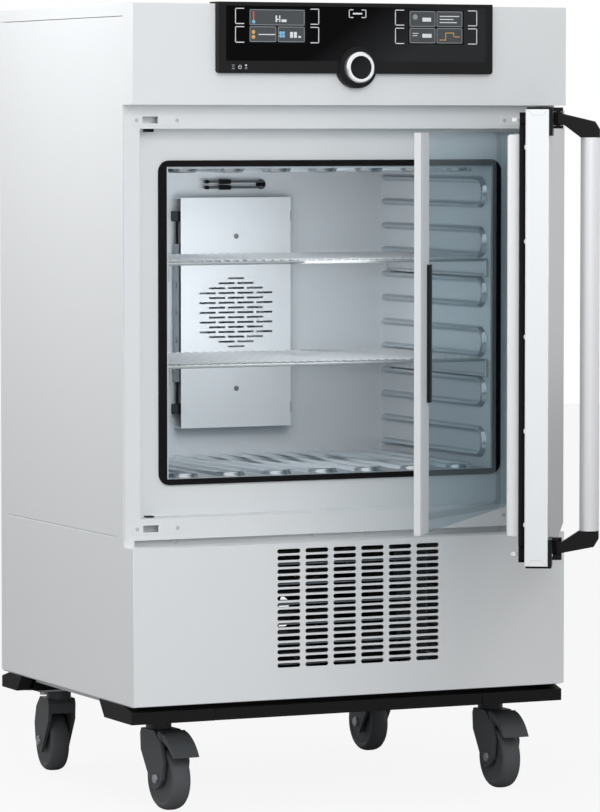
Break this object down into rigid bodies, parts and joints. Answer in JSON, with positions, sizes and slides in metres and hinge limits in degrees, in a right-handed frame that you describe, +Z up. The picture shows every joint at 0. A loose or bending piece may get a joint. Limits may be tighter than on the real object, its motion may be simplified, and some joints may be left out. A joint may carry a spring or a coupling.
{
  "type": "cooling incubator",
  "caption": "Upright cooling incubator on castors: ribbed stainless chamber with wire shelves, rear fan, inner glass door, insulated outer door with bar handle, top control panel, slotted base.",
  "frame": {"origin": "on the floor, midway between the side walls, below the front face of the fascia", "axes": "+Z up, +X to the right seen from the front, +Y from the front to the back"},
  "size_m": [0.7521, 1.2298, 1.248],
  "materials": {
    "painted_steel": "satin",
    "door_white": "satin",
    "stainless": "satin",
    "bright_wire": "polished",
    "black_rubber": "matte",
    "insulation": "matte",
    "fins": "satin",
    "black_plastic": "matte",
    "gloss_black": "gloss",
    "screen": "gloss",
    "board": "satin",
    "ring_metal": "polished",
    "machine_black": "satin",
    "base_grey": "satin",
    "trim_black": "matte",
    "zinc": "satin",
    "castor_grey": "matte",
    "tyre_grey": "matte",
    "door_glass": "gloss",
    "profile_grey": "satin",
    "grip_black": "matte",
    "handle_metal": "satin",
    "latch_white": "satin"
  },
  "bodies": {
    "cabinet": {"left_side_panel": "painted_steel", "right_side_panel": "painted_steel", "rear_panel": "painted_steel", "mains_inlet": "black_plastic", "top_cover": "painted_steel", "upper_fascia": "painted_steel", "lower_front_panel": "painted_steel", "front_frame": "painted_steel", "strike_plates": "painted_steel", "hinge_brackets": "zinc", "glass_door_catches": "black_plastic", "chamber_liner": "stainless", "chamber_ribs": "stainless", "chamber_gasket": "black_rubber", "chamber_insulation": "insulation", "fan_cover": "stainless", "evaporator": "fins", "chamber_fittings": "black_plastic", "temperature_probes": "bright_wire", "fan_motor": "machine_black", "control_bezel": "black_plastic", "control_glass": "gloss_black", "display_screens": "screen", "control_board": "board", "compressor": "machine_black", "condenser": "fins", "condenser_fan_housing": "black_plastic", "base_tray": "base_grey", "castor_carriers": "machine_black", "base_trim": "trim_black", "castor_plates": "zinc"},
    "main_door": {"door_skin": "door_white", "door_casing": "door_white", "door_insulation": "insulation", "door_gasket": "black_rubber", "door_brackets": "black_plastic"},
    "door_handle": {"handle_tube": "handle_metal", "handle_arms": "black_plastic", "latch_tongues": "latch_white"},
    "glass_door": {"glass_pane": "door_glass", "glass_edge_profile": "profile_grey", "glass_grip": "grip_black", "glass_hinges": "stainless"},
    "lower_shelf": {"shelf_lower": "bright_wire"},
    "upper_shelf": {"shelf_upper": "bright_wire"},
    "chamber_fan": {"circulation_fan": "fins"},
    "cooling_fan": {"condenser_fan": "black_plastic"},
    "turn_ring": {"control_ring": "ring_metal"},
    "push_button": {"confirm_button": "gloss_black"},
    "power_key": {"power_button": "black_plastic"},
    "fork_front_left": {"castor_fork_front_left": "castor_grey"},
    "wheel_front_left": {"castor_wheel_front_left": "tyre_grey"},
    "pedal_front_left": {"brake_pedal_front_left": "castor_grey"},
    "fork_front_right": {"castor_fork_front_right": "castor_grey"},
    "wheel_front_right": {"castor_wheel_front_right": "tyre_grey"},
    "pedal_front_right": {"brake_pedal_front_right": "castor_grey"},
    "fork_rear_left": {"castor_fork_rear_left": "castor_grey"},
    "wheel_rear_left": {"castor_wheel_rear_left": "tyre_grey"},
    "fork_rear_right": {"castor_fork_rear_right": "castor_grey"},
    "wheel_rear_right": {"castor_wheel_rear_right": "tyre_grey"}
  },
  "joints": [
    {"name": "main_door_hinge", "type": "hinge", "parent": "cabinet", "child": "main_door", "pos_m": [0.3575, 0.015, 0.7542], "axis": [0, 0, 1], "range_deg": [-60.1, 40]},
    {"name": "glass_door_hinge", "type": "hinge", "parent": "cabinet", "child": "glass_door", "pos_m": [0.3355, 0.0665, 0.7535], "axis": [0, 0, 1], "range_deg": [-48.7, 33]},
    {"name": "handle_pivot", "type": "hinge", "parent": "main_door", "child": "door_handle", "pos_m": [0.0417, -0.59358, 0.7572], "axis": [0, 0, 1], "range_deg": [0, 12], "stiffness_Nm_per_rad": 6},
    {"name": "lower_shelf_slide", "type": "slide", "parent": "cabinet", "child": "lower_shelf", "axis": [0, -1, 0], "range_m": [0, 0.06]},
    {"name": "upper_shelf_slide", "type": "slide", "parent": "cabinet", "child": "upper_shelf", "axis": [0, -1, 0], "range_m": [0, 0.06]},
    {"name": "chamber_fan_spin", "type": "hinge", "parent": "cabinet", "child": "chamber_fan", "pos_m": [0, 0.468, 0.7525], "axis": [0, 1, 0], "continuous": true},
    {"name": "cooling_fan_spin", "type": "hinge", "parent": "cabinet", "child": "cooling_fan", "pos_m": [0.009, 0.13, 0.28775], "axis": [0, 1, 0], "continuous": true},
    {"name": "control_ring_turn", "type": "hinge", "parent": "cabinet", "child": "turn_ring", "pos_m": [0, -0.0213, 1.1485], "axis": [0, -1, 0], "continuous": true},
    {"name": "confirm_push", "type": "slide", "parent": "cabinet", "child": "push_button", "axis": [0, 1, 0], "range_m": [0, 0.001], "stiffness_N_per_m": 800},
    {"name": "power_key_push", "type": "slide", "parent": "cabinet", "child": "power_key", "axis": [0, 1, 0], "range_m": [0, 0.001], "stiffness_N_per_m": 600},
    {"name": "swivel_front_left", "type": "hinge", "parent": "cabinet", "child": "fork_front_left", "pos_m": [-0.29, 0.096, 0.13], "axis": [0, 0, 1], "continuous": true},
    {"name": "roll_front_left", "type": "hinge", "parent": "fork_front_left", "child": "wheel_front_left", "pos_m": [-0.28812, 0.06005, 0.05], "axis": [-0.9986, -0.0523, 0], "continuous": true},
    {"name": "brake_front_left", "type": "hinge", "parent": "fork_front_left", "child": "pedal_front_left", "pos_m": [-0.28759, 0.05006, 0.118], "axis": [0.9986, 0.0523, 0], "range_deg": [0, 14]},
    {"name": "swivel_front_right", "type": "hinge", "parent": "cabinet", "child": "fork_front_right", "pos_m": [0.29, 0.096, 0.13], "axis": [0, 0, 1], "continuous": true},
    {"name": "roll_front_right", "type": "hinge", "parent": "fork_front_right", "child": "wheel_front_right", "pos_m": [0.28874, 0.06002, 0.05], "axis": [-0.9994, 0.0349, 0], "continuous": true},
    {"name": "brake_front_right", "type": "hinge", "parent": "fork_front_right", "child": "pedal_front_right", "pos_m": [0.28839, 0.05003, 0.118], "axis": [0.9994, -0.0349, 0], "range_deg": [0, 14]},
    {"name": "swivel_rear_left", "type": "hinge", "parent": "cabinet", "child": "fork_rear_left", "pos_m": [-0.29, 0.511, 0.13], "axis": [0, 0, 1], "continuous": true},
    {"name": "roll_rear_left", "type": "hinge", "parent": "fork_rear_left", "child": "wheel_rear_left", "pos_m": [-0.28686, 0.54686, 0.05], "axis": [0.9962, -0.0872, 0], "continuous": true},
    {"name": "swivel_rear_right", "type": "hinge", "parent": "cabinet", "child": "fork_rear_right", "pos_m": [0.29, 0.511, 0.13], "axis": [0, 0, 1], "continuous": true},
    {"name": "roll_rear_right", "type": "hinge", "parent": "fork_rear_right", "child": "wheel_rear_right", "pos_m": [0.29, 0.547, 0.05], "axis": [1, 0, 0], "continuous": true}
  ],
  "couplings": [
    {"joint": "glass_door_hinge", "follows": "main_door_hinge", "ratio": 0.81032}
  ]
}
